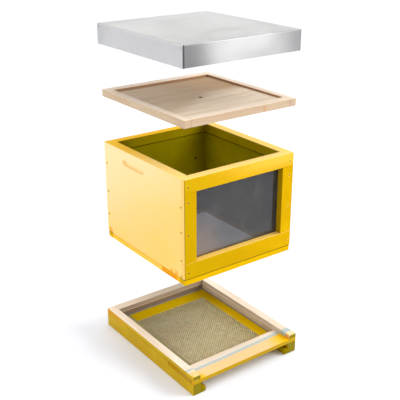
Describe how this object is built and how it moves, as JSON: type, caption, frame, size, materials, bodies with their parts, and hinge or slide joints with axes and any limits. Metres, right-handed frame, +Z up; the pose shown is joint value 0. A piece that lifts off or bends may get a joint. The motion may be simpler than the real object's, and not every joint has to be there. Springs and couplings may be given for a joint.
{
  "type": "beehive",
  "caption": "Wooden beehive with a mesh floor and landing board, a painted hive body with a window, a crown board and a flat sheet-metal roof, its layers lifted apart.",
  "frame": {"origin": "middle of the floor's underside, where the hive stands", "axes": "+Z up; the front with the window and the landing board faces -Y; +X to the right seen from the front"},
  "size_m": [0.4386, 0.537, 1.105],
  "materials": {
    "yellow_paint": "satin paint on planed softwood",
    "orange_paint": "thin paint on softwood",
    "bare_pine": "planed, unpainted",
    "bare_ply": "sanded, unpainted",
    "zinc_sheet": "galvanised, satin",
    "nail_steel": "dull",
    "steel_mesh": "dull zinc",
    "window_glass": "smooth, smoke grey"
  },
  "bodies": {
    "floor": {"floor_left_side": "yellow_paint", "floor_right_side": "yellow_paint", "left_tray_guide": "yellow_paint", "right_tray_guide": "yellow_paint", "mesh_frame_front": "yellow_paint", "mesh_frame_back": "yellow_paint", "mesh_frame_left": "yellow_paint", "mesh_frame_right": "yellow_paint", "landing_board": "yellow_paint", "floor_left_strip": "bare_pine", "floor_right_strip": "bare_pine", "floor_back_strip": "bare_pine", "floor_back_rail": "bare_pine", "left_notch_block": "orange_paint", "right_notch_block": "orange_paint", "floor_mesh": "steel_mesh"},
    "hive_body": {"body_left_wall": "yellow_paint", "body_right_wall": "yellow_paint", "body_back_wall": "yellow_paint", "window_top_rail": "yellow_paint", "window_bottom_rail": "yellow_paint", "window_left_stile": "yellow_paint", "window_right_stile": "yellow_paint", "pane_bead_top": "yellow_paint", "pane_bead_bottom": "yellow_paint", "pane_bead_left": "yellow_paint", "pane_bead_right": "yellow_paint", "base_batten_front": "yellow_paint", "base_batten_back": "yellow_paint", "base_batten_left": "yellow_paint", "base_batten_right": "yellow_paint", "base_batten_left_front": "orange_paint", "window_pane": "window_glass", "front_nail_left_1": "nail_steel", "front_nail_left_2": "nail_steel", "front_nail_left_3": "nail_steel", "front_nail_left_4": "nail_steel", "front_nail_right_1": "nail_steel", "front_nail_right_2": "nail_steel", "front_nail_right_3": "nail_steel", "front_nail_right_4": "nail_steel", "wall_nail_front_1": "nail_steel", "wall_nail_front_2": "nail_steel", "wall_nail_front_3": "nail_steel", "wall_nail_front_4": "nail_steel", "wall_nail_back_1": "nail_steel", "wall_nail_back_2": "nail_steel", "wall_nail_back_3": "nail_steel", "batten_nail": "nail_steel"},
    "crown_board": {"crown_left_rail": "bare_pine", "crown_right_rail": "bare_pine", "crown_front_rail": "bare_pine", "crown_back_rail": "bare_pine", "crown_panel": "bare_ply"},
    "roof": {"roof_pan": "zinc_sheet", "roof_rivet_front_left": "zinc_sheet", "roof_rivet_front_right": "zinc_sheet", "roof_rivet_back_left": "zinc_sheet", "roof_rivet_back_right": "zinc_sheet"}
  },
  "joints": [
    {"name": "body_lift", "type": "slide", "parent": "floor", "child": "hive_body", "axis": [0, 0, 1], "range_m": [-0.3017, 0]},
    {"name": "crown_lift", "type": "slide", "parent": "hive_body", "child": "crown_board", "axis": [0, 0, 1], "range_m": [-0.1527, 0]},
    {"name": "roof_lift", "type": "slide", "parent": "crown_board", "child": "roof", "axis": [0, 0, 1], "range_m": [-0.2097, 0]}
  ]
}
